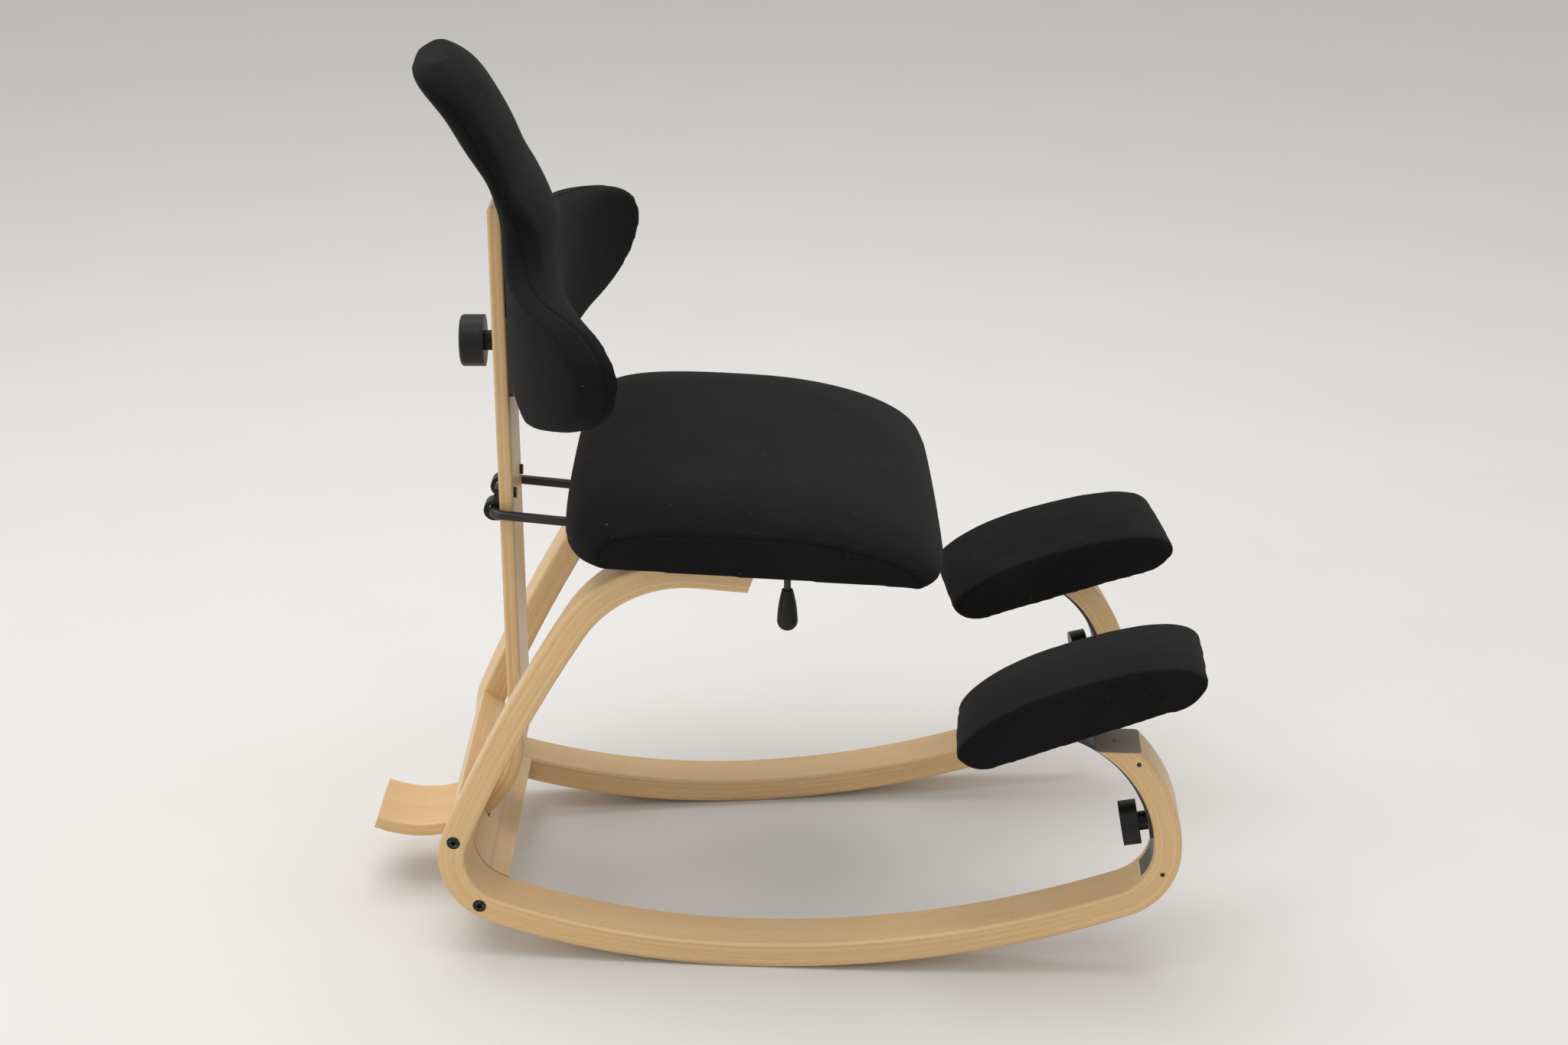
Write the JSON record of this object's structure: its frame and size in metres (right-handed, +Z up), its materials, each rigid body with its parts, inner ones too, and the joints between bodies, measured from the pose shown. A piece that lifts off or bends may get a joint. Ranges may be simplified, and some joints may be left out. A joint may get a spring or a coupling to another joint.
{
  "type": "rocking kneeling chair with backrest",
  "caption": "Kneeling chair that rocks on bent beech runners, with padded seat, adjustable padded knee rests and a winged backrest on a reclining post",
  "frame": {"origin": "on the floor, midway between the two runners, on the line where they touch the floor at rest", "axes": "+X forward (towards the knee pads), +Y to the sitter's left, +Z up"},
  "size_m": [0.8947, 0.5544, 0.9314],
  "materials": {
    "beech": "clear satin lacquer over laminated beech",
    "black_fabric": "matte black upholstery weave",
    "plywood": "raw plywood",
    "black_plastic": "fine-grained black moulding",
    "black_steel": "semi-gloss black powder coat",
    "bolt_steel": "black-oxide steel"
  },
  "bodies": {
    "frame": {"runner_right": "beech", "runner_left": "beech", "rear_panel": "beech", "panel_bolts_right": "bolt_steel", "panel_bolts_left": "bolt_steel", "runner_pins_right": "bolt_steel", "runner_pins_left": "bolt_steel", "post_pin": "bolt_steel", "rod_guide_right": "black_plastic", "rod_guide_left": "black_plastic", "guide_screws_right": "bolt_steel", "guide_screws_left": "bolt_steel", "seat_board": "plywood", "seat_cushion": "black_fabric", "seat_bolts_right": "bolt_steel", "seat_bolts_left": "bolt_steel", "lever_bracket": "black_steel", "knee_rail_right": "black_steel", "knee_rail_left": "black_steel"},
    "back": {"back_post": "beech", "rod_saddle": "black_plastic", "saddle_bolts": "bolt_steel"},
    "rod": {"back_rod": "black_steel"},
    "back_slider": {"clamp_bolt": "bolt_steel", "clamp_washer": "bolt_steel"},
    "back_knob": {"back_knob": "black_plastic"},
    "backrest": {"back_plate": "black_steel", "back_cushion": "black_fabric"},
    "lever": {"lever_shaft": "black_steel", "lever_cams": "bolt_steel", "lever_grip": "black_plastic"},
    "knee_right": {"knee_arm_right": "black_steel", "knee_board_right": "plywood", "knee_screws_right": "bolt_steel", "knee_pad_right": "black_fabric"},
    "knee_knob_right": {"knee_knob_right": "black_plastic", "knee_stud_right": "bolt_steel"},
    "knee_left": {"knee_arm_left": "black_steel", "knee_board_left": "plywood", "knee_screws_left": "bolt_steel", "knee_pad_left": "black_fabric"},
    "knee_knob_left": {"knee_knob_left": "black_plastic", "knee_stud_left": "bolt_steel"}
  },
  "joints": [
    {"name": "back_recline", "type": "hinge", "parent": "frame", "child": "back", "pos_m": [-0.29689, 0, 0.08828], "axis": [0, 1, 0], "range_deg": [-4, 4]},
    {"name": "rod_slide", "type": "slide", "parent": "frame", "child": "rod", "axis": [0.9942, 0, -0.1078], "range_m": [-0.0254, 0.0254]},
    {"name": "back_height", "type": "slide", "parent": "back", "child": "back_slider", "axis": [0, 0, 1], "range_m": [-0.02, 0.06]},
    {"name": "back_turn", "type": "hinge", "parent": "back_slider", "child": "backrest", "pos_m": [-0.2376, 0, 0.619], "axis": [1, 0, 0], "range_deg": [-8, 1]},
    {"name": "back_knob_turn", "type": "hinge", "parent": "back_slider", "child": "back_knob", "pos_m": [-0.27, 0, 0.619], "axis": [1, 0, 0], "range_deg": [-360, 360]},
    {"name": "lever_turn", "type": "hinge", "parent": "frame", "child": "lever", "pos_m": [0.047, -0.1, 0.434], "axis": [0, -1, 0], "range_deg": [0, 70]},
    {"name": "knee_right_set", "type": "hinge", "parent": "frame", "child": "knee_right", "pos_m": [0.29015, -0.20922, 0.1495], "axis": [-0.0764, -0.9971, 0], "range_deg": [-7.6, 1.4]},
    {"name": "knee_knob_right_turn", "type": "hinge", "parent": "frame", "child": "knee_knob_right", "pos_m": [0.29015, -0.20922, 0.1495], "axis": [0.9788, -0.075, 0.1908], "range_deg": [-360, 360]},
    {"name": "knee_left_set", "type": "hinge", "parent": "frame", "child": "knee_left", "pos_m": [0.29015, 0.20922, 0.1495], "axis": [0.0764, -0.9971, 0], "range_deg": [-1.7, 7.3]},
    {"name": "knee_knob_left_turn", "type": "hinge", "parent": "frame", "child": "knee_knob_left", "pos_m": [0.29015, 0.20922, 0.1495], "axis": [0.9788, 0.075, 0.1908], "range_deg": [-360, 360]}
  ],
  "couplings": [
    {"joint": "rod_slide", "follows": "back_recline", "m_per_rad": 0.36082}
  ]
}
